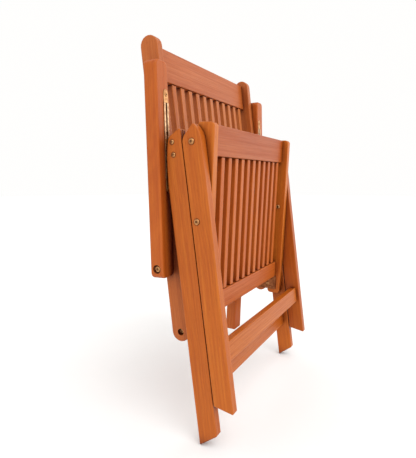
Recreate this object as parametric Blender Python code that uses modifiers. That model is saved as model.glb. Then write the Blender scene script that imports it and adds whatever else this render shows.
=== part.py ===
"""Folding five-position garden armchair in its folded state.

Frame: +X to the sitter's left, +Y to the back, +Z up, metres, feet of the rear legs on z = 0.
Each member is drawn straight, along its own X, and is then turned and placed in the side view.
"""
import math

import bmesh
import bpy
from mathutils import Matrix, Vector

for old in list(bpy.data.objects):
    bpy.data.objects.remove(old, do_unlink=True)

# Overall
WIDTH = 0.600               # over the outside of the legs
FIT = 0.0003                # gap between pieces that touch
SIDE_GAP = 0.0015           # washer gap between members that swing past each other

# Pivots in side view, measured from the leg pivot (y back, z up)
LEG_PIVOT_Y = -0.0225
LEG_PIVOT_Z = 0.6833
SEAT_PIVOT = (-0.0125, -0.1710)
BACK_PIVOT = (0.0455, -0.4346)
ARM_PIVOT = (0.0780, -0.2800)

# Directions of the members when folded, degrees from the floor towards +Z
LEG_ANGLE = 82.5
SEAT_ANGLE = 92.4
BACK_ANGLE = 83.2
ARM_ANGLE = 88.5

# Leg frames
LEG_DEPTH = 0.046
LEG_THICK = 0.024
REAR_LEG_OFFSET = 0.0478    # rear leg's centre line behind the front leg's
REAR_LEG_DEPTH = 0.0464
PIVOT_HEIGHT = 0.560        # height of the leg pivot when the chair stands open
FRONT_LEG_TURN = -11.0      # turn of the front legs from folded to open
REAR_LEG_TURN = 36.5        # turn of the rear legs from folded to open
STRETCHER_HIGH = 0.046
STRETCHER_THICK = 0.021
FRONT_STRETCHER_AT = -0.493   # lower edge along the leg from the pivot
REAR_STRETCHER_AT = -0.570

# Seat panel
RAIL_THICK = 0.022
SEAT_RAIL_DEPTH = 0.042
SEAT_FRONT = 0.214
SEAT_REAR = 0.291
SEAT_RECESS = 0.017         # underside of the cross rails above the underside of the side rails
FRONT_RAIL_HIGH = 0.071
REAR_RAIL_HIGH = 0.050
REAR_RAIL_FROM_END = 0.058
CROSS_THICK = 0.022
SLAT_WIDE = 0.018
SLAT_THICK = 0.016
SLAT_COUNT = 12

# Back panel
STILE_DEPTH = 0.045
STILE_LONG = 0.680          # back pivot to the top
BACK_RECESS = 0.020
TOP_RAIL_HIGH = 0.077
TOP_RAIL_BELOW_END = 0.016
BOTTOM_RAIL_AT = 0.040
BOTTOM_RAIL_HIGH = 0.045

# Arms and tracks
ARM_WIDE = 0.046
ARM_THICK = 0.033
ARM_FRONT = 0.455
ARM_REAR = 0.021
TRACK_FROM = 0.200
TRACK_TO = 0.366
TRACK_WIDE = 0.0180
TRACK_DEEP = 0.0150
TRACK_PROUD = 0.0018
TRACK_WALL = 0.0012
TRACK_SLIT = 0.0058
NOTCH_FIRST = 0.2420
NOTCH_STEP = 0.0143
NOTCH_LONG = 0.0070
NOTCH_COUNT = 5

# Metalwork
PLATE_THICK = 0.003
SLOT_WIDE = 0.0036
TONGUE_TIP = (0.0745, 0.0050)
BOLT_R = 0.0040
HEAD_R = 0.0075
SCREW_R = 0.0022
SCREW_HEAD_R = 0.0058
CLEAR = 0.0003
ARM_BARREL_R = 0.0115       # brass barrel that the arm turns on, sunk in the arm from its inner side
ARM_BARREL_LONG = 0.0357
BACK_BARREL_R = 0.0120      # the same at the foot of each stile
BACK_BARREL_LONG = 0.0097
ROUND_STEPS = 20

LEG_OUT = WIDTH / 2
LEG_IN = LEG_OUT - LEG_THICK
RAIL_OUT = LEG_IN - SIDE_GAP
RAIL_IN = RAIL_OUT - RAIL_THICK
ARM_IN = RAIL_OUT + 0.001
ARM_OUT = ARM_IN + ARM_WIDE
TRACK_X = LEG_OUT - LEG_THICK / 2

PART = bpy.data.collections.new("folding_armchair")
CUTTERS = bpy.data.collections.new("cutters")
CUTTERS.hide_render = True
bpy.context.scene.collection.children.link(PART)
bpy.context.scene.collection.children.link(CUTTERS)


class Line:
    """A member's axis in side view: points are given along it and across it, across being to the back."""

    def __init__(self, start, angle):
        turn = math.radians(angle)
        self.start = Vector((0, start[0] + LEG_PIVOT_Y, start[1] + LEG_PIVOT_Z))
        self.along = Vector((0, math.cos(turn), math.sin(turn)))
        self.across = Vector((0, math.sin(turn), -math.cos(turn)))

    def at(self, along, across, x=0.0):
        return self.start + self.along * along + self.across * across + Vector((x, 0, 0))


LEG = Line((0.0, 0.0), LEG_ANGLE)
SEAT = Line(SEAT_PIVOT, SEAT_ANGLE)
BACK = Line(BACK_PIVOT, BACK_ANGLE)
ARM = Line(ARM_PIVOT, ARM_ANGLE)


def frame_empty(name, line):
    """An empty on a joint's axis, in the middle plane, that the pieces of one moving frame hang from."""
    made = bpy.data.objects.new(name, None)
    made.location = line.start
    made.empty_display_size = 0.03
    PART.objects.link(made)
    return made


FRONT_LEGS = frame_empty("front_leg_frame", LEG)
REAR_LEGS = frame_empty("rear_leg_frame", LEG)
SEAT_FRAME = frame_empty("seat", SEAT)
BACK_FRAME = frame_empty("back", BACK)
ARM_FRAMES = {"l": frame_empty("left_arm", ARM), "r": frame_empty("right_arm", ARM)}


def material(name, colour, metallic, roughness):
    made = bpy.data.materials.new(name)
    made.use_nodes = True
    shader = made.node_tree.nodes["Principled BSDF"]
    shader.inputs["Base Color"].default_value = (*colour, 1.0)
    shader.inputs["Metallic"].default_value = metallic
    shader.inputs["Roughness"].default_value = roughness
    return made


def wood(name):
    return material(name + "_wood", (0.53, 0.14, 0.03), 0.0, 0.45)


def brass(name):
    return material(name + "_brass", (0.64, 0.35, 0.13), 1.0, 0.35)


def arc(centre, radius, start, end, steps):
    """Points on a circle, as (along, across) pairs; angles run from the along direction to the back."""
    found = []
    for i in range(steps + 1):
        turn = math.radians(start + (end - start) * i / steps)
        found.append((centre[0] + radius * math.cos(turn), centre[1] + radius * math.sin(turn)))
    return found


def rounded(corners, radius, steps=4):
    """The outline with each corner turned into an arc of this radius."""
    outline = []
    count = len(corners)
    for i in range(count):
        here = Vector(corners[i])
        before = (Vector(corners[i - 1]) - here).normalized()
        after = (Vector(corners[(i + 1) % count]) - here).normalized()
        half = before.angle(after) / 2
        reach = radius / math.tan(half)
        centre = here + (before + after).normalized() * (radius / math.sin(half))
        first = (here + before * reach - centre).normalized()
        last = (here + after * reach - centre).normalized()
        for j in range(steps + 1):
            spoke = first.slerp(last, j / steps).normalized()
            outline.append(tuple(centre + spoke * radius))
    return outline


def turn_of(first, second):
    """The rotation that lays local X along first and local Y along second."""
    third = first.cross(second)
    return Matrix((first, second, third)).transposed().to_euler()


def set_up(made, place, rotation, parent, look):
    """Places an object by its location and rotation and gives it its material, or makes it a cutter."""
    made.rotation_euler = rotation
    if look is None:
        made.location = place
        made.display_type = "WIRE"
        made.hide_render = True
        CUTTERS.objects.link(made)
        return made
    made.parent = parent
    made.location = place - parent.location
    made.data.materials.append(look)
    PART.objects.link(made)
    return made


def object_from(shape, name):
    mesh = bpy.data.meshes.new(name)
    shape.to_mesh(mesh)
    shape.free()
    return bpy.data.objects.new(name, mesh)


def soften(made, width):
    edge = made.modifiers.new("edge", "BEVEL")
    edge.width = width
    edge.segments = 2
    edge.limit_method = "ANGLE"
    edge.angle_limit = math.radians(40)


def plate(name, outline, thick, place, rotation, parent=None, look=None, bevel=0.0):
    """A flat outline in local XY, with its thickness centred on local Z = 0."""
    curve = bpy.data.curves.new(name + "_outline", "CURVE")
    curve.dimensions = "2D"
    curve.fill_mode = "BOTH"
    curve.extrude = thick / 2
    spline = curve.splines.new("POLY")
    spline.points.add(len(outline) - 1)
    for point, (across, up) in zip(spline.points, outline):
        point.co = (across, up, 0, 1)
    spline.use_cyclic_u = True
    drawn = bpy.data.objects.new(name + "_outline", curve)
    bpy.context.scene.collection.objects.link(drawn)
    graph = bpy.context.evaluated_depsgraph_get()
    mesh = bpy.data.meshes.new_from_object(drawn.evaluated_get(graph))
    bpy.data.objects.remove(drawn)
    shape = bmesh.new()
    shape.from_mesh(mesh)
    bpy.data.meshes.remove(mesh)
    bmesh.ops.remove_doubles(shape, verts=shape.verts, dist=0.00001)
    bmesh.ops.dissolve_limit(shape, angle_limit=math.radians(0.5), verts=shape.verts, edges=shape.edges)
    bmesh.ops.recalc_face_normals(shape, faces=shape.faces)
    made = set_up(object_from(shape, name), place, rotation, parent, look)
    if bevel:
        soften(made, bevel)
    return made


def member(name, line, outline, x_range, parent=None, look=None, bevel=0.0):
    """A side view outline of a member, between two distances from the middle plane."""
    middle = (x_range[0] + x_range[1]) / 2
    thick = abs(x_range[1] - x_range[0])
    place = line.at(0, 0, middle)
    return plate(name, outline, thick, place, turn_of(line.along, line.across), parent, look, bevel)


def block(name, line, along, across, x_range, parent=None, look=None, bevel=0.0):
    """A straight bar between two stations along a member and two across it."""
    size = (along[1] - along[0], across[1] - across[0], abs(x_range[1] - x_range[0]))
    shape = bmesh.new()
    bmesh.ops.create_cube(shape, size=1.0)
    bmesh.ops.scale(shape, vec=size, verts=shape.verts)
    bmesh.ops.translate(shape, vec=((along[0] + along[1]) / 2, (across[0] + across[1]) / 2, 0), verts=shape.verts)
    place = line.at(0, 0, (x_range[0] + x_range[1]) / 2)
    made = set_up(object_from(shape, name), place, turn_of(line.along, line.across), parent, look)
    if bevel:
        soften(made, bevel)
    return made


def turned(name, profile, centre, side, parent, look):
    """A profile of (outward distance, radius) pairs, outermost first, turned round an axis along X."""
    shape = bmesh.new()
    verts = [shape.verts.new((radius, 0, outward)) for outward, radius in profile]
    for pair in zip(verts, verts[1:]):
        shape.edges.new(pair)
    place = Vector((0, centre.y, centre.z))
    made = set_up(object_from(shape, name), place, (0, side * math.pi / 2, 0), parent, look)
    lathe = made.modifiers.new("lathe", "SCREW")
    lathe.axis = "Z"
    lathe.angle = math.tau
    lathe.steps = ROUND_STEPS
    lathe.render_steps = ROUND_STEPS
    lathe.use_merge_vertices = True
    lathe.merge_threshold = 0.00002
    lathe.use_smooth_shade = True
    return made


def cut(target, cutter):
    hole = target.modifiers.new("cut_" + cutter.name, "BOOLEAN")
    hole.operation = "DIFFERENCE"
    hole.solver = "EXACT"
    hole.object = cutter


def drill(target, name, centre, side, radius, x_from, x_to):
    """A round hole along X between two outward distances from the middle plane."""
    shape = bmesh.new()
    bmesh.ops.create_cone(
        shape, cap_ends=True, segments=ROUND_STEPS, radius1=radius, radius2=radius, depth=x_to - x_from,
    )
    place = Vector((side * (x_from + x_to) / 2, centre.y, centre.z))
    cut(target, set_up(object_from(shape, name), place, (0, math.pi / 2, 0), None, None))


def dome(face, tip, radius):
    """Profile points of a low domed head from the middle of its crown to its rim."""
    points = [(tip, 0.0)]
    for i in (3, 2, 1):
        turn = math.radians(90 * i / 4)
        points.append((face + (tip - face) * math.sin(turn), radius * math.cos(turn)))
    return points + [(face, radius)]


def bolt(name, centre, side, parent, inner_end, seat_face, head_top, shank_r, head_r, nut_r=0.0, barrel=None):
    """A domed bolt. With nut_r it has a domed nut inside, and barrel is (from, to, radius) of a thicker part."""
    profile = dome(seat_face, head_top, head_r)
    profile += [(seat_face, shank_r)]
    if barrel:
        profile += [(barrel[1], shank_r), (barrel[1], barrel[2]), (barrel[0], barrel[2]), (barrel[0], shank_r)]
    profile += [(inner_end, shank_r)]
    if nut_r:
        profile += list(reversed(dome(inner_end, inner_end - 0.003, nut_r)))
    else:
        profile += [(inner_end, 0.0)]
    return turned(name, profile, centre, side, parent, brass(name))


def foot_along(across, turn):
    """Where the floor cuts a leg at this distance across it, once the leg has turned to its open place."""
    along_rise = math.sin(math.radians(LEG_ANGLE + turn))
    across_rise = -math.cos(math.radians(LEG_ANGLE + turn))
    return (-PIVOT_HEIGHT - across * across_rise) / along_rise


half = LEG_DEPTH / 2
OPENING = REAR_LEG_TURN - FRONT_LEG_TURN
APEX = (0.038, -0.0074)
NOSE_R = 0.0493             # radius of the front side of the leg's pointed top
rear_front = REAR_LEG_OFFSET - REAR_LEG_DEPTH / 2
rear_back = REAR_LEG_OFFSET + REAR_LEG_DEPTH / 2
PLATE_SCREWS = ((0.0065, 0.0480), (-0.0210, 0.0480))


def front_leg_outline():
    outline = [(foot_along(half, FRONT_LEG_TURN), half)]
    outline += arc((0, 0), half, 90, 90 - OPENING, 6)
    outline += [APEX]
    nose = arc((0.002, NOSE_R - half), NOSE_R, 313.2, 270, 6)
    outline += nose[1:]
    outline += [(foot_along(-half, FRONT_LEG_TURN), -half)]
    return outline


def rear_leg_outline():
    return [
        (foot_along(rear_back, REAR_LEG_TURN), rear_back),
        (-0.080, rear_back),
        (-0.030, 0.0672),
        (-0.004, 0.0628),
        (0.0150, 0.0575),
        (0.0190, 0.0545),
        (0.0325, 0.0278),
        (0.0320, rear_front + 0.0008),
        (0.0280, rear_front),
        (foot_along(rear_front, REAR_LEG_TURN), rear_front),
    ]


for side, tag in ((1, "l"), (-1, "r")):
    x_leg = (side * LEG_IN, side * LEG_OUT)
    x_rail = (side * RAIL_IN, side * RAIL_OUT)
    mid = side * TRACK_X

    # Front leg: slot for the plate from behind, holes for the leg and seat pivots
    name = "front_leg_" + tag
    leg = member(name, LEG, front_leg_outline(), x_leg, FRONT_LEGS, wood(name), 0.0022)
    slot = block(
        "slot_" + name, LEG, (-0.022, 0.060), (-0.0140, 0.060),
        (mid - SLOT_WIDE / 2, mid + SLOT_WIDE / 2),
    )
    cut(leg, slot)
    drill(leg, "leg_pivot_hole_" + name, LEG.start, side, BOLT_R + CLEAR, LEG_IN - 0.01, LEG_OUT + 0.01)
    drill(leg, "seat_pivot_hole_" + name, SEAT.start, side, BOLT_R + CLEAR, LEG_IN - 0.01, LEG_OUT + 0.01)

    # Rear leg: slot for the plate, holes for its two screws
    name = "rear_leg_" + tag
    leg = member(name, LEG, rear_leg_outline(), x_leg, REAR_LEGS, wood(name), 0.0022)
    slot = block(
        "slot_" + name, LEG, (-0.0370, 0.060), (0.010, 0.090),
        (mid - SLOT_WIDE / 2, mid + SLOT_WIDE / 2),
    )
    cut(leg, slot)
    for i, (along, across) in enumerate(PLATE_SCREWS):
        centre = LEG.at(along, across)
        drill(leg, f"screw_hole_{i}_{name}", centre, side, SCREW_R + CLEAR, LEG_IN + 0.004, LEG_OUT + 0.01)

    # Pivot plate with the tongue that rides in the arm's track
    name = "pivot_plate_" + tag
    tip = Vector((0, *TONGUE_TIP))
    tip_along = tip.dot(LEG.along)
    tip_across = tip.dot(LEG.across)
    outline = arc((0, 0), 0.0125, 180, 330, 8)
    outline += [(0.0130, 0.0280), (0.0150, 0.0500), (tip_along + 0.0035, tip_across - 0.0060)]
    outline += arc((tip_along, tip_across), 0.0035, 0, 150, 5)
    outline += [(-0.0060, 0.0620), (-0.0330, 0.0570), (-0.0355, 0.0500), (-0.0300, 0.0400), (-0.0125, 0.0200)]
    plate_x = (mid - PLATE_THICK / 2, mid + PLATE_THICK / 2)
    tongue = member(name, LEG, outline, plate_x, REAR_LEGS, brass(name), 0.0003)
    drill(tongue, "leg_pivot_hole_" + name, LEG.start, side, BOLT_R + CLEAR, LEG_IN, LEG_OUT)
    for i, (along, across) in enumerate(PLATE_SCREWS):
        drill(tongue, f"screw_hole_{i}_{name}", LEG.at(along, across), side, SCREW_R + CLEAR, LEG_IN, LEG_OUT)
        bolt(
            f"plate_screw_{i + 1}_{tag}", LEG.at(along, across), side, REAR_LEGS,
            LEG_IN + 0.0050, LEG_OUT + FIT, LEG_OUT + 0.0030, SCREW_R, SCREW_HEAD_R,
        )

    bolt(
        "leg_pivot_bolt_" + tag, LEG.start, side, FRONT_LEGS, LEG_IN + 0.001, LEG_OUT + FIT,
        LEG_OUT + 0.0036, BOLT_R, HEAD_R,
    )
    bolt(
        "seat_pivot_bolt_" + tag, SEAT.start, side, FRONT_LEGS, RAIL_IN - FIT, LEG_OUT + FIT,
        LEG_OUT + 0.0036, BOLT_R, HEAD_R, 0.0065,
    )

    # Seat side rail
    name = "seat_side_rail_" + tag
    low, high = -SEAT_RAIL_DEPTH / 2, SEAT_RAIL_DEPTH / 2
    outline = rounded([(-SEAT_REAR, low), (SEAT_FRONT, low), (SEAT_FRONT, high), (-SEAT_REAR, high)], 0.010)
    rail = member(name, SEAT, outline, x_rail, SEAT_FRAME, wood(name), 0.0020)
    drill(rail, "pivot_hole_" + name, SEAT.start, side, BOLT_R + CLEAR, RAIL_IN - 0.01, RAIL_OUT + 0.01)

    # Back stile, rounded about the back pivot, with a deep counterbore for the pivot bolt
    name = "back_stile_" + tag
    half_stile = STILE_DEPTH / 2
    back_barrel = (RAIL_IN + FIT, RAIL_IN + FIT + BACK_BARREL_LONG, BACK_BARREL_R)
    outline = arc((0, 0), half_stile, 90, 270, 10)
    outline += arc((STILE_LONG - half_stile, 0), half_stile, 270, 450, 10)
    stile = member(name, BACK, outline, x_rail, BACK_FRAME, wood(name), 0.0020)
    drill(stile, "pivot_hole_" + name, BACK.start, side, BOLT_R + CLEAR, RAIL_IN - 0.01, RAIL_OUT + 0.01)
    drill(stile, "pivot_bore_" + name, BACK.start, side, 0.0080, RAIL_OUT - 0.0090, RAIL_OUT + 0.01)
    drill(stile, "pivot_barrel_" + name, BACK.start, side, BACK_BARREL_R + CLEAR, RAIL_IN - 0.01, back_barrel[1] + FIT)
    drill(stile, "arm_hole_" + name, ARM.start, side, BOLT_R + CLEAR, RAIL_IN - 0.01, RAIL_OUT + 0.01)

    # Hinge strap from the seat rail's rear end to the stile's foot
    name = "hinge_strap_" + tag
    strap_x = (side * (RAIL_IN - FIT), side * (RAIL_IN - FIT - 0.003))
    along = (BACK.start - SEAT.start).dot(SEAT.along)
    across = (BACK.start - SEAT.start).dot(SEAT.across)
    outline = [(along - 0.0110, -0.0080), (along + 0.0320, -0.0080), (along + 0.0320, 0.0080)]
    outline += [(along + 0.0120, across - 0.0060)]
    outline += arc((along, across), 0.0120, 20, 180, 8)
    strap = member(name, SEAT, outline, strap_x, SEAT_FRAME, brass(name), 0.0004)
    drill(strap, "pivot_hole_" + name, BACK.start, side, BOLT_R + CLEAR, RAIL_IN - 0.01, RAIL_IN + 0.01)
    bolt(
        "back_pivot_bolt_" + tag, BACK.start, side, BACK_FRAME, RAIL_IN - 0.0036, RAIL_OUT - 0.0086,
        RAIL_OUT - 0.0050, BOLT_R, 0.0070, 0.0065, back_barrel,
    )

    # Arm with the slot for its track
    name = "arm_" + tag
    flat = -ARM_THICK / 2
    corners = [
        (-ARM_REAR, side * ARM_IN), (ARM_FRONT, side * ARM_IN),
        (ARM_FRONT, side * ARM_OUT), (-ARM_REAR, side * ARM_OUT),
    ]
    lie = turn_of(ARM.along, Vector((1, 0, 0)))
    arm = plate(name, rounded(corners, 0.012, 5), ARM_THICK, ARM.start, lie, ARM_FRAMES[tag], wood(name), 0.0035)
    room = TRACK_WIDE / 2 + FIT
    slot = block(
        "slot_" + name, ARM, (TRACK_FROM - FIT, TRACK_TO + FIT), (flat - 0.01, flat - TRACK_PROUD + TRACK_DEEP + FIT),
        (mid - room, mid + room),
    )
    cut(arm, slot)
    drill(arm, "pivot_hole_" + name, ARM.start, side, BOLT_R + CLEAR, ARM_IN - 0.01, ARM_OUT + 0.01)
    drill(arm, "pivot_bore_" + name, ARM.start, side, 0.0100, ARM_OUT - 0.0060, ARM_OUT + 0.01)
    arm_barrel = (ARM_IN + FIT, ARM_IN + FIT + ARM_BARREL_LONG, ARM_BARREL_R)
    drill(arm, "pivot_barrel_" + name, ARM.start, side, ARM_BARREL_R + CLEAR, ARM_IN - 0.01, arm_barrel[1] + FIT)
    bolt(
        "arm_pivot_bolt_" + tag, ARM.start, side, ARM_FRAMES[tag], RAIL_IN + 0.001, ARM_OUT - 0.0057,
        ARM_OUT - 0.0022, BOLT_R, 0.0088, barrel=arm_barrel,
    )

    # Track: a channel with inward lips, five notches cut in the lips
    name = "arm_track_" + tag
    wide = TRACK_WIDE / 2
    slit = TRACK_SLIT / 2
    low = flat - TRACK_PROUD
    high = low + TRACK_DEEP
    section = [
        (-wide, low), (-slit, low), (-slit, low + TRACK_WALL), (-wide + TRACK_WALL, low + TRACK_WALL),
        (-wide + TRACK_WALL, high - TRACK_WALL), (wide - TRACK_WALL, high - TRACK_WALL),
        (wide - TRACK_WALL, low + TRACK_WALL), (slit, low + TRACK_WALL), (slit, low), (wide, low),
        (wide, high), (-wide, high),
    ]
    place = ARM.at((TRACK_FROM + TRACK_TO) / 2, 0, mid)
    stand = turn_of(Vector((1, 0, 0)), ARM.across)
    track = plate(name, section, TRACK_TO - TRACK_FROM, place, stand, ARM_FRAMES[tag], brass(name))
    for i in range(NOTCH_COUNT):
        start = NOTCH_FIRST + i * NOTCH_STEP - NOTCH_LONG / 2
        notch = block(
            f"notch_{i}_{name}", ARM, (start, start + NOTCH_LONG), (low - 0.002, low + TRACK_WALL + 0.0004),
            (mid - slit - 0.0018, mid + slit + 0.0018),
        )
        cut(track, notch)

# Stretchers between the legs
inside = LEG_IN - FIT
block(
    "front_leg_stretcher", LEG, (FRONT_STRETCHER_AT, FRONT_STRETCHER_AT + STRETCHER_HIGH),
    (-half + 0.010, -half + 0.010 + STRETCHER_THICK), (-inside, inside), FRONT_LEGS,
    wood("front_leg_stretcher"), 0.0020,
)
block(
    "rear_leg_stretcher", LEG, (REAR_STRETCHER_AT, REAR_STRETCHER_AT + STRETCHER_HIGH),
    (rear_front + 0.016, rear_front + 0.016 + STRETCHER_THICK), (-inside, inside), REAR_LEGS,
    wood("rear_leg_stretcher"), 0.0020,
)

# Cross rails and slats of the two panels
inside = RAIL_IN - FIT
seat_under = -SEAT_RAIL_DEPTH / 2 + SEAT_RECESS
rear_rail = (-SEAT_REAR + REAR_RAIL_FROM_END, -SEAT_REAR + REAR_RAIL_FROM_END + REAR_RAIL_HIGH)
front_rail = (SEAT_FRONT - FRONT_RAIL_HIGH, SEAT_FRONT - 0.001)
back_under = -STILE_DEPTH / 2 + BACK_RECESS
bottom_rail = (BOTTOM_RAIL_AT, BOTTOM_RAIL_AT + BOTTOM_RAIL_HIGH)
top_rail = (STILE_LONG - TOP_RAIL_BELOW_END - TOP_RAIL_HIGH, STILE_LONG - TOP_RAIL_BELOW_END)
for name, line, parent, along, under in (
    ("seat_front_rail", SEAT, SEAT_FRAME, front_rail, seat_under),
    ("seat_rear_rail", SEAT, SEAT_FRAME, rear_rail, seat_under),
    ("back_bottom_rail", BACK, BACK_FRAME, bottom_rail, back_under),
    ("back_top_rail", BACK, BACK_FRAME, top_rail, back_under),
):
    block(name, line, along, (under, under + CROSS_THICK), (-inside, inside), parent, wood(name), 0.0020)

gap = (2 * inside - SLAT_COUNT * SLAT_WIDE) / (SLAT_COUNT + 1)
for label, line, parent, along, under in (
    ("seat_slat", SEAT, SEAT_FRAME, (rear_rail[1] + FIT, front_rail[0] - FIT), seat_under),
    ("back_slat", BACK, BACK_FRAME, (bottom_rail[1] + FIT, top_rail[0] - FIT), back_under),
):
    for i in range(SLAT_COUNT):
        left = -inside + gap + i * (SLAT_WIDE + gap)
        name = f"{label}_{i + 1:02d}"
        block(
            name, line, along, (under + 0.003, under + 0.003 + SLAT_THICK), (left, left + SLAT_WIDE),
            parent, wood(name), 0.0018,
        )

# Block behind the middle of the seat's rear rail
block(
    "seat_centre_block", SEAT, (-0.337, -0.190), (seat_under + CROSS_THICK + FIT, seat_under + CROSS_THICK + 0.028),
    (-0.020, 0.020), SEAT_FRAME, wood("seat_centre_block"), 0.0020,
)
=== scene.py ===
"""A folding garden armchair in oiled hardwood with brass fittings, folded flat and standing on its feet."""

import math
import random

import bmesh
import bpy
from mathutils import Matrix, Vector


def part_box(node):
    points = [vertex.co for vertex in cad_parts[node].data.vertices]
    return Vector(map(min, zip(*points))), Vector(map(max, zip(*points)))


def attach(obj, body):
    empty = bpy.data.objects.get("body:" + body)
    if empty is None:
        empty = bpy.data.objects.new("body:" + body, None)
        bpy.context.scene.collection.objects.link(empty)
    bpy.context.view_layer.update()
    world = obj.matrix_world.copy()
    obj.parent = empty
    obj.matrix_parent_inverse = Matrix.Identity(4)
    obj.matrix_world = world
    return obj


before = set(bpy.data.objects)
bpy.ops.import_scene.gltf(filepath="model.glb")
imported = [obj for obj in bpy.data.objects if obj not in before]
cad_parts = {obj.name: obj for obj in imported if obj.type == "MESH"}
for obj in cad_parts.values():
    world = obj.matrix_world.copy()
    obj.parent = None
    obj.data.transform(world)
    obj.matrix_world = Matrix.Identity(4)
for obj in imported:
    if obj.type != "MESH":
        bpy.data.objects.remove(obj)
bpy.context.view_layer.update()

# How far each group of members leans from the horizontal, in degrees, in the plane of the side view.
LEG_LEAN = 82.5
SEAT_LEAN = 92.4
BACK_LEAN = 83.2
ARM_LEAN = 88.5

# The names that begin each group of wooden nodes, with the lean of their grain. None is grain along X.
GRAIN_LEANS = (
    ("front_leg_stretcher", None),
    ("rear_leg_stretcher", None),
    ("seat_front_rail", None),
    ("seat_rear_rail", None),
    ("back_top_rail", None),
    ("back_bottom_rail", None),
    ("front_leg", LEG_LEAN),
    ("rear_leg", LEG_LEAN),
    ("seat_", SEAT_LEAN),
    ("back_", BACK_LEAN),
    ("arm_", ARM_LEAN),
)

# Wood colours, as linear RGB, from the dark lines of the grain to the pale ground.
GRAIN_DARK = (0.365, 0.064, 0.0055, 1)
GRAIN_DEEP = (0.425, 0.083, 0.0070, 1)
GRAIN_MID = (0.480, 0.105, 0.0090, 1)
GRAIN_PALE = (0.555, 0.142, 0.0160, 1)
END_GRAIN = (0.250, 0.050, 0.0070, 1)
# Paler edges, partly from wear and partly a painted highlight.
WORN_EDGE_AND_HIGHLIGHT = (0.600, 0.185, 0.0400, 1)
PORE = (0.150, 0.026, 0.0050, 1)
# Painted shade for the wood where other members stand close.
PAINTED_CREVICE_SHADE = (0.170, 0.038, 0.0220, 1)

# How each group's boards differ from the mean, as a factor on linear red, green and blue. Some tints are
# painted light: front_leg_l is darkened as painted shade, and the large blue factors of seat_slat and the
# back_ groups paint a pale sheen.
BOARD_TINTS_AND_PAINTED_LIGHT = (
    ("front_leg_stretcher", (0.97, 1.05, 0.62)),
    ("front_leg_l", (0.86, 0.86, 0.72)),
    ("front_leg", (1.04, 1.12, 0.92)),
    ("rear_leg", (0.99, 1.04, 0.82)),
    ("seat_slat", (1.08, 1.14, 1.45)),
    ("seat_side", (1.10, 1.24, 1.05)),
    ("seat_front", (0.78, 0.66, 0.35)),
    ("seat_", (0.98, 0.98, 1.15)),
    ("arm_", (1.00, 1.00, 1.05)),
    ("back_top", (0.95, 1.02, 1.90)),
    ("back_stile", (0.95, 1.10, 2.40)),
    ("back_slat", (1.08, 1.35, 2.80)),
    ("back_", (0.97, 0.98, 1.50)),
)

# The tone of the grain, from 0 to 1, at which each colour is reached.
GRAIN_STOPS = ((0.10, GRAIN_DARK), (0.36, GRAIN_DEEP), (0.60, GRAIN_MID), (0.90, GRAIN_PALE))

# Growth rings, in metres. PITH_SLOPE is how much they open along the member, as a ratio.
RING_PITCH = 0.0048
PITH_AWAY = 0.085
PITH_SLOPE = 0.05
RING_WANDER = 0.040
RING_DRIFT = 0.0055

EDGE_ROUND = 0.0016
# How far the painted crevice shade reaches, in metres.
CREVICE_SHADE_REACH = 0.060
# How far the painted shade on brass reaches near other surfaces, in metres.
CONTACT_SHADE_REACH = 0.0045

BRASS_BRIGHT = (0.620, 0.315, 0.125, 1)
BRASS_DULL = (0.400, 0.170, 0.062, 1)
# Dark tarnish for the specks, and painted shade for the hollows and for a head's recess and rim.
BRASS_TARNISH_AND_SHADE = (0.120, 0.045, 0.018, 1)
TRACK_BRIGHT = (0.680, 0.420, 0.230, 1)
TRACK_DULL = (0.460, 0.240, 0.120, 1)
BRONZE_BRIGHT = (0.300, 0.105, 0.040, 1)
BRONZE_DULL = (0.150, 0.045, 0.018, 1)

# Fittings, in metres, but SCREW_TAPER and CROSS_REACH are shares of the head's radius.
BOLT_HEAD_RADIUS = 0.0075
PLATE_SCREW_RADIUS = 0.0058
SCREW_RADIUS = 0.0046
SCREW_DOME = 0.0016
SCREW_SKIRT = 0.0006
SCREW_TAPER = 0.96
SCREW_CROSS = 0.0011
CROSS_REACH = 1.15
CROSS_DEEP = 0.0022
DOME_STEPS = 8
SCREW_STEPS = 32
TAB_WIDE = 0.0175
TAB_LONG = 0.0290
TAB_THICK = 0.0012
TAB_STEPS = 12
TAB_GAP_LOW = 0.0006
TAB_GAP_HIGH = 0.0002
TAB_SCREW_OUTER = 0.003
TRACK_PROUD = 0.0018
STRAP_SCREW_DROPS = (0.012, 0.026)
STRAP_SCREW_BACK = 0.006

# The camera stands to the chair's right, a little in front. Angles are degrees, and the lens millimetres.
CAMERA_PLACE = (-1.1020, -0.4775, 0.6063)
CAMERA_PITCH = 6.80
CAMERA_YAW = 62.62
CAMERA_LENS = 33.67
SENSOR_WIDE = 36

SKY_COLOUR = (1.0, 0.995, 0.985, 1)
KEY_STRENGTH = 1.15
KEY_SPREAD = 0.7
KEY_FROM = (-0.60, -0.90, 1.35)
PANEL_POWER = 9
PANEL_SIZE = 1.8
PANEL_PLACE = (1.9, -1.5, 1.3)
PANEL_AIM = (0, 0, 0.6)
FLOOR_RADIUS = 14


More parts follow.
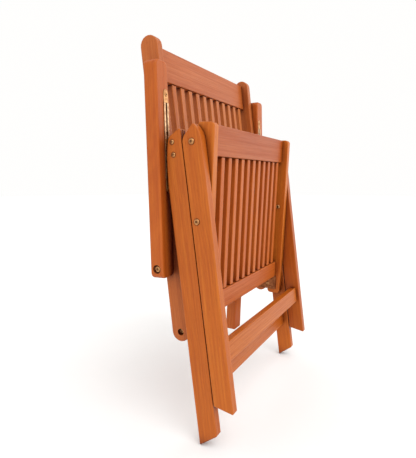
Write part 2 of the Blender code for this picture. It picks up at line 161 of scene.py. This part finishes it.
class Shader:
    """A material's node tree, with short calls to add nodes and join them."""

    def __init__(self, name):
        self.material = bpy.data.materials.new(name)
        self.material.use_nodes = True
        self.nodes = self.material.node_tree.nodes
        self.links = self.material.node_tree.links
        self.surface = self.nodes["Principled BSDF"]

    def add(self, kind, **settings):
        node = self.nodes.new(kind)
        for name, value in settings.items():
            setattr(node, name, value)
        return node

    def feed(self, socket, value):
        if isinstance(value, bpy.types.NodeSocket):
            self.links.new(value, socket)
        else:
            socket.default_value = value

    def math(self, operation, first, second=0.0, clamp=False):
        node = self.add("ShaderNodeMath", operation=operation, use_clamp=clamp)
        self.feed(node.inputs[0], first)
        self.feed(node.inputs[1], second)
        return node.outputs[0]

    def vector(self, operation, first, second, result="Vector"):
        node = self.add("ShaderNodeVectorMath", operation=operation)
        self.feed(node.inputs[0], first)
        self.feed(node.inputs[1], second)
        return node.outputs[result]

    def noise(self, place, stretch, detail=4.0, roughness=0.55, distortion=0.0):
        node = self.add("ShaderNodeTexNoise")
        self.feed(node.inputs["Vector"], self.vector("MULTIPLY", place, stretch))
        node.inputs["Scale"].default_value = 1.0
        node.inputs["Detail"].default_value = detail
        node.inputs["Roughness"].default_value = roughness
        node.inputs["Distortion"].default_value = distortion
        return node.outputs["Fac"]

    def span(self, value, low, high, to_low=0.0, to_high=1.0):
        node = self.add("ShaderNodeMapRange", interpolation_type="SMOOTHSTEP")
        self.feed(node.inputs["Value"], value)
        for socket, number in zip(("From Min", "From Max", "To Min", "To Max"), (low, high, to_low, to_high)):
            node.inputs[socket].default_value = number
        return node.outputs["Result"]

    def mix(self, amount, first, second, blend="MIX"):
        node = self.add("ShaderNodeMix", data_type="RGBA", blend_type=blend)
        self.feed(node.inputs["Factor"], amount)
        self.feed(node.inputs[6], first)
        self.feed(node.inputs[7], second)
        return node.outputs[2]

    def ramp(self, value, stops):
        node = self.add("ShaderNodeValToRGB")
        self.feed(node.inputs["Fac"], value)
        elements = node.color_ramp.elements
        while len(elements) < len(stops):
            elements.new(0.5)
        for element, (place, colour) in zip(elements, stops):
            element.position = place
            element.color = colour
        return node.outputs["Color"]

    def bump(self, height, distance, strength, normal=None):
        node = self.add("ShaderNodeBump")
        self.feed(node.inputs["Height"], height)
        node.inputs["Distance"].default_value = distance
        node.inputs["Strength"].default_value = strength
        if normal is not None:
            self.feed(node.inputs["Normal"], normal)
        return node.outputs["Normal"]

    def rounded_normal(self, radius):
        node = self.add("ShaderNodeBevel", samples=6)
        node.inputs["Radius"].default_value = radius
        return node.outputs["Normal"]

    def openness(self, reach):
        """1 in the open, and towards 0 where other surfaces stand within reach."""
        node = self.add("ShaderNodeAmbientOcclusion", samples=6)
        node.inputs["Distance"].default_value = reach
        return node.outputs["AO"]

    def edges(self, radius, low, high):
        """0 on flat faces and towards 1 at edges and corners within the radius."""
        flat = self.add("ShaderNodeNewGeometry").outputs["Normal"]
        same = self.vector("DOT_PRODUCT", self.rounded_normal(radius), flat, "Value")
        return self.span(same, high, low)


def grain_axes(lean):
    """The directions along, across and through a member."""
    if lean is None:
        return Vector((1, 0, 0)), Vector((0, 1, 0)), Vector((0, 0, 1))
    turn = math.radians(lean)
    along = Vector((0, math.cos(turn), math.sin(turn)))
    across = Vector((0, math.sin(turn), -math.cos(turn)))
    return along, across, Vector((1, 0, 0))


def random_shift(chance):
    """A far-off place in the noise, so that no two pieces share a pattern."""
    return Vector((chance.uniform(-9, 9), chance.uniform(-9, 9), chance.uniform(-9, 9)))


def tinted(colour, name):
    factors = next(factors for start, factors in BOARD_TINTS_AND_PAINTED_LIGHT if name.startswith(start))
    return (*(part * factor for part, factor in zip(colour, factors)), 1)


def in_member(s, place, axes):
    """Each point's place along, across and through its member."""
    joined = s.add("ShaderNodeCombineXYZ")
    for socket, axis in zip(joined.inputs, axes):
        s.feed(socket, s.vector("DOT_PRODUCT", place, axis, "Value"))
    return joined.outputs["Vector"]


def growth_rings(s, member, log, chance):
    """Rings, from 0 to 1, round a pith line that lies outside the member and wanders along it."""
    pith_turn = chance.uniform(0, math.tau)
    pith = Vector((0, math.cos(pith_turn), math.sin(pith_turn))) * PITH_AWAY * chance.uniform(0.7, 1.6)
    wander = s.noise(log, (2.6, 9.0, 9.0), detail=2.0)
    drift = s.noise(log, (7.0, 38.0, 38.0), detail=3.0, distortion=0.4)
    flat = s.vector("MULTIPLY", s.vector("ADD", member, pith), (PITH_SLOPE, 1, 1))
    bent = s.vector("LENGTH", flat, (0, 0, 0), "Value")
    bent = s.math("ADD", bent, s.math("MULTIPLY", wander, RING_WANDER))
    bent = s.math("ADD", bent, s.math("MULTIPLY", drift, RING_DRIFT))
    turns = s.math("MULTIPLY", bent, math.tau / (RING_PITCH * chance.uniform(0.8, 1.3)))
    rings = s.math("MULTIPLY_ADD", s.math("SINE", turns), 0.5)
    rings.node.inputs[2].default_value = 0.5
    return rings


def wood_figure(s, member, chance):
    """The separate parts of the grain, each from 0 to 1, cut from the member's own place in a log."""
    log = s.vector("ADD", member, random_shift(chance))
    return {
        "rings": growth_rings(s, member, log, chance),
        "streaks": s.noise(log, (3.4, 230.0, 230.0), detail=5.0, roughness=0.60, distortion=0.15),
        "fibres": s.noise(log, (26.0, 900.0, 900.0), detail=3.0, roughness=0.6),
        "pores": s.span(s.noise(log, (70.0, 1700.0, 1700.0), detail=1.0), 0.335, 0.270),
        "patches": s.noise(log, (3.2, 15.0, 15.0), detail=2.0),
        "rubbing_and_highlight": s.noise(log, (22.0, 60.0, 60.0), detail=4.0),
    }


def board_colour(s, figure, name, chance):
    """The colour of a planed and oiled face, from the grain and the board's own tint."""
    tone = s.math("MULTIPLY", figure["rings"], 0.13)
    tone = s.math("ADD", tone, figure["streaks"])
    tone = s.math("ADD", tone, s.math("MULTIPLY", figure["patches"], 0.50))
    tone = s.math("ADD", tone, chance.uniform(-0.36, -0.20))
    # The group tints carry painted shade and a painted sheen as well as each board's own tone.
    colour = s.ramp(tone, [(stop, tinted(shade, name)) for stop, shade in GRAIN_STOPS])
    shade = s.span(figure["fibres"], 0.25, 0.75, 0.88, 1.07)
    grey = s.add("ShaderNodeCombineColor")
    for socket in grey.inputs:
        s.feed(socket, shade)
    colour = s.mix(1.0, colour, grey.outputs[0], "MULTIPLY")
    return s.mix(s.math("MULTIPLY", figure["pores"], 0.42), colour, PORE)


def worn_and_painted_light(s, colour, ends, wear_and_highlight):
    """Painted shade darkens the wood where members stand close, cut ends drink more oil, and edges are paler
    from wear and from a painted highlight.
    """
    # Painted shade: the colour darkens towards the crevice shade where other surfaces stand within reach.
    closed = s.span(s.openness(CREVICE_SHADE_REACH), 0.80, 0.32)
    colour = s.mix(closed, colour, s.mix(1.0, colour, PAINTED_CREVICE_SHADE, "MULTIPLY"))
    colour = s.mix(s.math("MULTIPLY", ends, 0.50), colour, END_GRAIN)
    return s.mix(wear_and_highlight, colour, WORN_EDGE_AND_HIGHLIGHT)


def board_roughness(s, figure, ends, wear_and_highlight):
    """Pale streaks shine more, pores and cut ends less, and worn edges are smooth."""
    rough = s.span(figure["streaks"], 0.25, 0.75, 0.50, 0.36)
    rough = s.math("ADD", rough, s.math("MULTIPLY", figure["pores"], 0.22))
    rough = s.math("ADD", rough, s.math("MULTIPLY", ends, 0.18))
    return s.math("SUBTRACT", rough, s.math("MULTIPLY", wear_and_highlight, 0.14), clamp=True)


def board_height(s, figure):
    """The relief of the grain, with raised fibres and open pores."""
    height = s.math("MULTIPLY", figure["fibres"], 0.55)
    height = s.math("ADD", height, s.math("MULTIPLY", figure["rings"], 0.22))
    return s.math("SUBTRACT", height, s.math("MULTIPLY", figure["pores"], 0.70))


def wood(name, lean):
    """Oiled hardwood, with the grain along the member."""
    chance = random.Random(name)
    axes = grain_axes(lean)
    s = Shader("hardwood_" + name)
    space = s.add("ShaderNodeTexCoord")
    figure = wood_figure(s, in_member(s, space.outputs["Object"], axes), chance)
    facing = s.vector("DOT_PRODUCT", space.outputs["Normal"], axes[0], "Value")
    ends = s.span(s.math("ABSOLUTE", facing), 0.70, 0.92)
    # Edges are paler in patches, from wear and from a painted highlight.
    rubbing_and_highlight = s.span(figure["rubbing_and_highlight"], 0.35, 0.62, 0.22, 0.72)
    wear_and_highlight = s.math("MULTIPLY", s.edges(0.0024, 0.90, 0.995), rubbing_and_highlight)
    s.feed(s.surface.inputs["Base Color"], worn_and_painted_light(s, board_colour(s, figure, name, chance), ends, wear_and_highlight))
    s.feed(s.surface.inputs["Roughness"], board_roughness(s, figure, ends, wear_and_highlight))
    relief = s.bump(board_height(s, figure), 0.00022, 0.55, s.rounded_normal(EDGE_ROUND))
    s.feed(s.surface.inputs["Normal"], relief)
    s.surface.inputs["Specular IOR Level"].default_value = 0.24
    s.surface.inputs["Coat Weight"].default_value = 0.03
    s.surface.inputs["Coat Roughness"].default_value = 0.28
    return s.material


def socket_and_rim(s, place, centre, radius, crossed):
    """1 in the driving recess and the rim groove of a head that faces along X, and 0 on its dome."""
    away = s.vector("MULTIPLY", s.vector("SUBTRACT", place, centre), (0, 1 / radius, 1 / radius))
    middle = s.vector("LENGTH", away, (0, 0, 0), "Value")
    rim = s.span(middle, 0.80, 0.94)
    if not crossed:
        return s.math("MAXIMUM", s.span(middle, 0.46, 0.36), rim)
    parts = s.add("ShaderNodeSeparateXYZ")
    s.feed(parts.inputs["Vector"], away)
    spread = [s.math("ABSOLUTE", parts.outputs[axis]) for axis in ("Y", "Z")]
    narrow = s.span(s.math("MINIMUM", *spread), 0.20, 0.13)
    short = s.span(s.math("MAXIMUM", *spread), 0.62, 0.52)
    return s.math("MAXIMUM", s.math("MULTIPLY", narrow, short), rim)


def brass(name, turned, bright=BRASS_BRIGHT, dull=BRASS_DULL, head=None):
    """Lacquered brass, with painted shade in its hollows and in a head's recess and rim groove. A head is
    (centre, radius, whether its recess is a cross).
    """
    s = Shader("brass_" + name)
    unmoved = s.add("ShaderNodeTexCoord").outputs["Object"]
    place = s.vector("ADD", unmoved, random_shift(random.Random(name)))
    clouds = s.noise(place, (150.0, 150.0, 150.0), detail=5.0, roughness=0.6)
    specks = s.span(s.noise(place, (900.0, 900.0, 900.0), detail=2.0), 0.64, 0.74)
    stretch = (1500.0, 1500.0, 420.0) if turned else (2200.0, 1900.0, 60.0)
    marks = s.noise(place, stretch, detail=3.0, roughness=0.65)
    worn = s.edges(0.0009, 0.86, 0.99)
    colour = s.mix(s.span(clouds, 0.38, 0.66), bright, dull)
    colour = s.mix(s.math("MULTIPLY", specks, 0.55), colour, BRASS_TARNISH_AND_SHADE)
    colour = s.mix(s.math("MULTIPLY", worn, 0.55), colour, bright)
    # Painted shade: the brass darkens where other surfaces stand within reach.
    colour = s.mix(s.span(s.openness(CONTACT_SHADE_REACH), 0.85, 0.35), colour, BRASS_TARNISH_AND_SHADE)
    height = s.math("SUBTRACT", s.math("MULTIPLY", marks, 0.4), s.math("MULTIPLY", specks, 0.6))
    if head:
        sunk_and_shaded = socket_and_rim(s, unmoved, *head)
        # Painted shade in the recess and rim groove, which are only a bump here.
        colour = s.mix(s.math("MULTIPLY", sunk_and_shaded, 0.90), colour, BRASS_TARNISH_AND_SHADE)
        height = s.math("SUBTRACT", height, s.math("MULTIPLY", sunk_and_shaded, 8.0))
    s.feed(s.surface.inputs["Base Color"], colour)
    rough = s.math("ADD", s.span(clouds, 0.3, 0.7, 0.24, 0.42), s.math("MULTIPLY", specks, 0.20))
    rough = s.math("ADD", rough, s.span(marks, 0.3, 0.7, -0.05, 0.08), clamp=True)
    s.feed(s.surface.inputs["Roughness"], rough)
    s.feed(s.surface.inputs["Normal"], s.bump(height, 0.00006, 0.5, s.rounded_normal(0.0005)))
    s.surface.inputs["Metallic"].default_value = 1.0
    return s.material


def pale_floor():
    s = Shader("studio_floor")
    place = s.add("ShaderNodeTexCoord").outputs["Object"]
    mottle = s.noise(place, (3.0, 3.0, 3.0), detail=5.0)
    grit = s.noise(place, (420.0, 420.0, 420.0), detail=2.0)
    s.feed(s.surface.inputs["Base Color"], s.mix(mottle, (0.86, 0.86, 0.855, 1), (0.90, 0.90, 0.895, 1)))
    s.feed(s.surface.inputs["Roughness"], s.span(grit, 0.2, 0.8, 0.75, 0.90))
    s.feed(s.surface.inputs["Normal"], s.bump(grit, 0.0002, 0.2))
    s.surface.inputs["Specular IOR Level"].default_value = 0.2
    return s.material


def dress(obj, material):
    obj.data.materials.clear()
    obj.data.materials.append(material)


def object_of(mesh_builder, name):
    mesh = bpy.data.meshes.new(name)
    mesh_builder.to_mesh(mesh)
    mesh_builder.free()
    obj = bpy.data.objects.new(name, mesh)
    bpy.context.scene.collection.objects.link(obj)
    return obj


def screw_dome():
    """A turned head, domed above and closed below, on the Z axis."""
    dome = bmesh.new()
    profile = []
    for step in range(DOME_STEPS + 1):
        turn = math.radians(90 * step / DOME_STEPS)
        profile.append(dome.verts.new((SCREW_RADIUS * math.sin(turn), 0, SCREW_DOME * math.cos(turn))))
    profile.append(dome.verts.new((SCREW_RADIUS * SCREW_TAPER, 0, -SCREW_SKIRT)))
    profile.append(dome.verts.new((0, 0, -SCREW_SKIRT)))
    lines = [dome.edges.new(pair) for pair in zip(profile, profile[1:])]
    bmesh.ops.spin(dome, geom=profile + lines, axis=(0, 0, 1), cent=(0, 0, 0), angle=math.tau,
                   steps=SCREW_STEPS, use_merge=True)
    bmesh.ops.remove_doubles(dome, verts=dome.verts, dist=1e-6)
    bmesh.ops.recalc_face_normals(dome, faces=dome.faces)
    return dome


def cross_bars():
    """Two crossed bars at the top of the dome, which cut its recess."""
    bars = bmesh.new()
    for turn in (0, 90):
        made = bmesh.ops.create_cube(bars, size=1)["verts"]
        bmesh.ops.scale(bars, verts=made, vec=(SCREW_RADIUS * CROSS_REACH, SCREW_CROSS, CROSS_DEEP))
        bmesh.ops.translate(bars, verts=made, vec=(0, 0, SCREW_DOME))
        bmesh.ops.rotate(bars, verts=made, cent=(0, 0, 0), matrix=Matrix.Rotation(math.radians(turn), 3, "Z"))
    return bars


def crosshead_screw(name, centre, outward, body):
    """A domed screw head with a cross recess, on the surface at centre and facing outward."""
    head = object_of(screw_dome(), name)
    recess = object_of(cross_bars(), name + "_recess")
    cut = head.modifiers.new("recess", "BOOLEAN")
    cut.operation = "DIFFERENCE"
    cut.solver = "EXACT"
    cut.use_self = True
    cut.object = recess
    bpy.context.view_layer.update()
    finished = bpy.data.meshes.new_from_object(head.evaluated_get(bpy.context.evaluated_depsgraph_get()))
    head.modifiers.clear()
    head.data = finished
    bpy.data.objects.remove(recess)
    finished.shade_smooth()
    finished.set_sharp_from_angle(angle=math.radians(40))
    # The cross stops at no special angle when the screw is driven home.
    tightened = Matrix.Rotation(0.4 * len(name), 4, "Z")
    turn_out = Vector((0, 0, 1)).rotation_difference(Vector(outward)).to_matrix().to_4x4()
    finished.transform(Matrix.Translation(centre) @ turn_out @ tightened)
    dress(head, brass(name, turned=True))
    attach(head, body)


def node_material(name):
    """The material of a CAD node, which its name tells."""
    if "strap" in name:
        return brass(name, False, BRONZE_BRIGHT, BRONZE_DULL)
    if "track" in name:
        return brass(name, False, TRACK_BRIGHT, TRACK_DULL)
    if "plate" in name and "screw" not in name:
        return brass(name, False)
    if "bolt" in name or "screw" in name:
        crossed = "screw" in name
        low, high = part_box(name)
        radius = PLATE_SCREW_RADIUS if crossed else BOLT_HEAD_RADIUS
        return brass(name, True, head=((low + high) / 2, radius, crossed))
    return wood(name, next(lean for start, lean in GRAIN_LEANS if name.startswith(start)))


def dress_frame():
    for name, node in sorted(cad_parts.items()):
        dress(node, node_material(name))


def track_tab(name, centre, up, out, flip, body):
    """A flat brass tab with one rounded end, lying on the arm at the end of a track."""
    outline = [(-TAB_WIDE / 2, -TAB_LONG / 2), (TAB_WIDE / 2, -TAB_LONG / 2)]
    shoulder = TAB_LONG / 2 - TAB_WIDE / 2
    for step in range(TAB_STEPS + 1):
        turn = math.radians(180 * step / TAB_STEPS)
        outline.append((TAB_WIDE / 2 * math.cos(turn), shoulder + TAB_WIDE / 2 * math.sin(turn)))
    shape = bmesh.new()
    face = shape.faces.new([shape.verts.new((across, along * flip, 0)) for across, along in outline])
    grown = bmesh.ops.extrude_face_region(shape, geom=[face])["geom"]
    raised = [part for part in grown if isinstance(part, bmesh.types.BMVert)]
    bmesh.ops.translate(shape, vec=(0, 0, TAB_THICK), verts=raised)
    bmesh.ops.recalc_face_normals(shape, faces=shape.faces)
    tab = object_of(shape, name)
    lie = Matrix((up.cross(out), up, out)).transposed().to_4x4()
    tab.data.transform(Matrix.Translation(centre) @ lie)
    edge = tab.modifiers.new("edge", "BEVEL")
    edge.width = 0.0004
    edge.segments = 3
    edge.limit_method = "ANGLE"
    dress(tab, brass(name, turned=False))
    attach(tab, body)


def add_track_ends():
    """Each arm track is held by a tab and a screw at its two ends."""
    up = Vector((0, math.cos(math.radians(ARM_LEAN)), math.sin(math.radians(ARM_LEAN))))
    out = Vector((0, -up.z, up.y))
    for side in ("l", "r"):
        low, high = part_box("arm_track_" + side)
        long = high.z - low.z
        foot = Vector(((low.x + high.x) / 2, low.y + TRACK_PROUD, low.z))
        ends = (("low", -1, -TAB_LONG / 2 - TAB_GAP_LOW), ("high", 1, long + TAB_LONG / 2 + TAB_GAP_HIGH))
        for end, flip, along in ends:
            centre = foot + up * along
            screw_centre = centre + up * flip * TAB_SCREW_OUTER + out * TAB_THICK
            track_tab(f"track_tab_{end}_{side}", centre, up, out, flip, "arm_" + side)
            crosshead_screw(f"track_screw_{end}_{side}", screw_centre, out, "arm_" + side)


def add_strap_screws():
    """Two screws hold each hinge strap to the seat's side rail."""
    for side, inward in (("l", -1), ("r", 1)):
        low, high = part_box("hinge_strap_" + side)
        face = low.x if inward < 0 else high.x
        for number, drop in enumerate(STRAP_SCREW_DROPS, 1):
            centre = Vector((face, (low.y + high.y) / 2 - STRAP_SCREW_BACK, high.z - drop))
            crosshead_screw(f"strap_screw_{number}_{side}", centre, (inward, 0, 0), "seat")


def add_floor():
    floor = bmesh.new()
    bmesh.ops.create_circle(floor, cap_ends=True, segments=96, radius=FLOOR_RADIUS)
    stage = object_of(floor, "studio_floor")
    dress(stage, pale_floor())


def add_placed(name, data):
    obj = bpy.data.objects.new(name, data)
    bpy.context.scene.collection.objects.link(obj)
    return obj


def add_lights():
    """A plain white surround, a soft key from the front, and a faint panel for the wood's sheen."""
    world = bpy.data.worlds.new("studio")
    world.use_nodes = True
    world.node_tree.nodes["Background"].inputs["Color"].default_value = SKY_COLOUR
    bpy.context.scene.world = world

    sun = bpy.data.lights.new("key", "SUN")
    sun.energy = KEY_STRENGTH
    sun.angle = KEY_SPREAD
    add_placed("key", sun).rotation_euler = Vector(KEY_FROM).to_track_quat("Z", "Y").to_euler()

    panel = bpy.data.lights.new("sheen_panel", "AREA")
    panel.energy = PANEL_POWER
    panel.size = PANEL_SIZE
    rim = add_placed("sheen_panel", panel)
    rim.location = PANEL_PLACE
    rim.rotation_euler = (rim.location - Vector(PANEL_AIM)).to_track_quat("Z", "Y").to_euler()


def add_camera():
    lens = bpy.data.cameras.new("camera")
    lens.lens = CAMERA_LENS
    lens.sensor_width = SENSOR_WIDE
    camera = add_placed("camera", lens)
    camera.location = CAMERA_PLACE
    camera.rotation_euler = (math.radians(90 - CAMERA_PITCH), 0, -math.radians(CAMERA_YAW))
    bpy.context.scene.camera = camera
    bpy.context.scene.view_settings.view_transform = "Standard"


add_floor()
add_lights()
add_camera()
dress_frame()
add_track_ends()
add_strap_screws()
